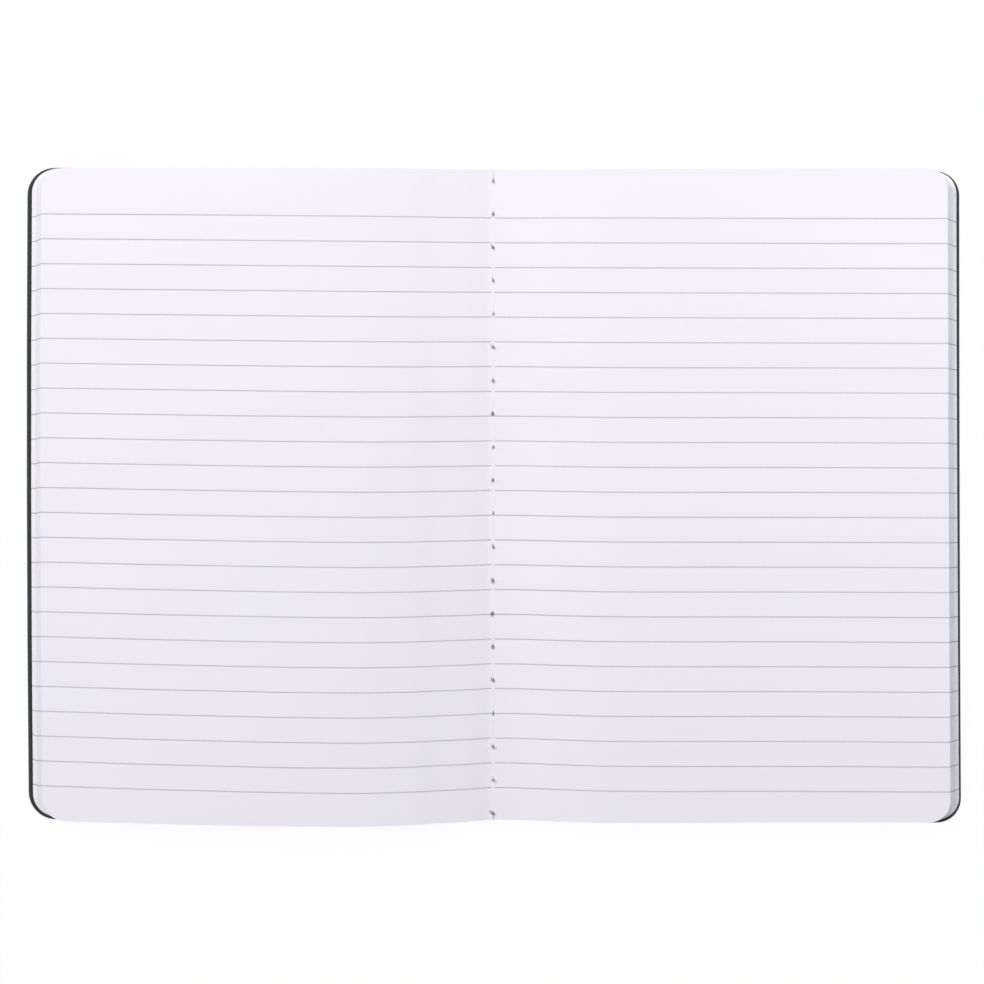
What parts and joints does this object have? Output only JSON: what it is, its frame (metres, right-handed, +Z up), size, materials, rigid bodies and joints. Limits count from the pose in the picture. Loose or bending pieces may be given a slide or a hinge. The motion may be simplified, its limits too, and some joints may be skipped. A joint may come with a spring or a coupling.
{
  "type": "open sewn notebook",
  "caption": "Soft-cover ruled notebook, thread-sewn through its fold, lying open at the centre spread with rounded outer corners.",
  "frame": {"origin": "middle of the cover's fold on the surface the notebook lies on", "axes": "+X to the right across the spread, +Y toward the head of the page, +Z up"},
  "size_m": [0.303, 0.21, 0.009],
  "materials": {
    "cover_card": "matte dyed card",
    "ruled_paper": "uncoated",
    "white_thread": "polished thread"
  },
  "bodies": {
    "back_half": {"back_cover": "cover_card", "right_pages": "ruled_paper", "sewing_thread": "white_thread"},
    "front_half": {"front_cover": "cover_card", "left_pages": "ruled_paper"}
  },
  "joints": [
    {"name": "front_cover_hinge", "type": "hinge", "parent": "back_half", "child": "front_half", "pos_m": [0, 0, 0.0029], "axis": [0, 1, 0], "range_deg": [0, 180], "deforming": ["left_pages", "right_pages"]}
  ]
}
